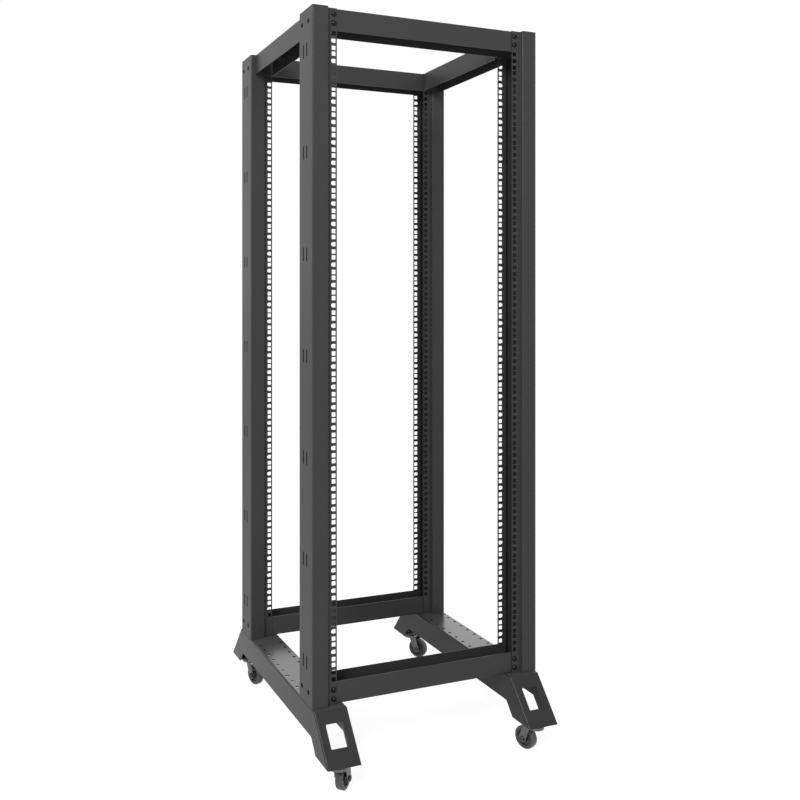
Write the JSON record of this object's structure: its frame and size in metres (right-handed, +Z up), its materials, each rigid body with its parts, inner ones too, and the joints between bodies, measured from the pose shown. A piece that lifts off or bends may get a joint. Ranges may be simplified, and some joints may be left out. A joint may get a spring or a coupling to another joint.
{
  "type": "four post open frame rack",
  "caption": "Open four post frame for 19 inch equipment: lipped posts with square cage nut holes, cross rails, splayed feet and swivel casters.",
  "frame": {"origin": "on the floor under the middle of the rack", "axes": "+Z up, -Y the front of the rack, +X its right seen from the front"},
  "size_m": [0.573, 0.68, 1.6814],
  "materials": {
    "frame_coat": "black fine textured powder coat",
    "foot_coat": "black fine textured powder coat",
    "zinc": "bright zinc plate",
    "wheel_core": "dark moulded nylon",
    "wheel_tread": "dark grey rubber"
  },
  "bodies": {
    "frame": {"post_front_left": "frame_coat", "seat_front_left": "frame_coat", "caster_plate_front_left": "zinc", "post_front_right": "frame_coat", "seat_front_right": "frame_coat", "caster_plate_front_right": "zinc", "post_rear_left": "frame_coat", "seat_rear_left": "frame_coat", "caster_plate_rear_left": "zinc", "post_rear_right": "frame_coat", "seat_rear_right": "frame_coat", "caster_plate_rear_right": "zinc", "top_rail_front": "frame_coat", "bottom_rail_front": "frame_coat", "top_rail_rear": "frame_coat", "bottom_rail_rear": "frame_coat", "top_side_rail_left": "frame_coat", "foot_left": "foot_coat", "top_side_rail_right": "frame_coat", "foot_right": "foot_coat"},
    "caster_front_left": {"caster_fork_front_left": "zinc", "caster_axle_front_left": "zinc"},
    "wheel_front_left": {"caster_hub_front_left": "wheel_core", "caster_tyre_front_left": "wheel_tread"},
    "caster_front_right": {"caster_fork_front_right": "zinc", "caster_axle_front_right": "zinc"},
    "wheel_front_right": {"caster_hub_front_right": "wheel_core", "caster_tyre_front_right": "wheel_tread"},
    "caster_rear_left": {"caster_fork_rear_left": "zinc", "caster_axle_rear_left": "zinc"},
    "wheel_rear_left": {"caster_hub_rear_left": "wheel_core", "caster_tyre_rear_left": "wheel_tread"},
    "caster_rear_right": {"caster_fork_rear_right": "zinc", "caster_axle_rear_right": "zinc"},
    "wheel_rear_right": {"caster_hub_rear_right": "wheel_core", "caster_tyre_rear_right": "wheel_tread"}
  },
  "joints": [
    {"name": "swivel_front_left", "type": "hinge", "parent": "frame", "child": "caster_front_left", "pos_m": [-0.2475, -0.305, 0.072], "axis": [0, 0, 1], "continuous": true},
    {"name": "roll_front_left", "type": "hinge", "parent": "caster_front_left", "child": "wheel_front_left", "pos_m": [-0.22922, -0.28795, 0.026], "axis": [0.682, -0.7314, 0], "continuous": true},
    {"name": "swivel_front_right", "type": "hinge", "parent": "frame", "child": "caster_front_right", "pos_m": [0.2475, -0.305, 0.072], "axis": [0, 0, 1], "continuous": true},
    {"name": "roll_front_right", "type": "hinge", "parent": "caster_front_right", "child": "wheel_front_right", "pos_m": [0.23936, -0.28136, 0.026], "axis": [0.9455, 0.3256, 0], "continuous": true},
    {"name": "swivel_rear_left", "type": "hinge", "parent": "frame", "child": "caster_rear_left", "pos_m": [-0.2475, 0.305, 0.072], "axis": [0, 0, 1], "continuous": true},
    {"name": "roll_rear_left", "type": "hinge", "parent": "caster_rear_left", "child": "wheel_rear_left", "pos_m": [-0.23936, 0.28136, 0.026], "axis": [-0.9455, -0.3256, 0], "continuous": true},
    {"name": "swivel_rear_right", "type": "hinge", "parent": "frame", "child": "caster_rear_right", "pos_m": [0.2475, 0.305, 0.072], "axis": [0, 0, 1], "continuous": true},
    {"name": "roll_rear_right", "type": "hinge", "parent": "caster_rear_right", "child": "wheel_rear_right", "pos_m": [0.26254, 0.28503, 0.026], "axis": [-0.7986, -0.6018, 0], "continuous": true}
  ]
}
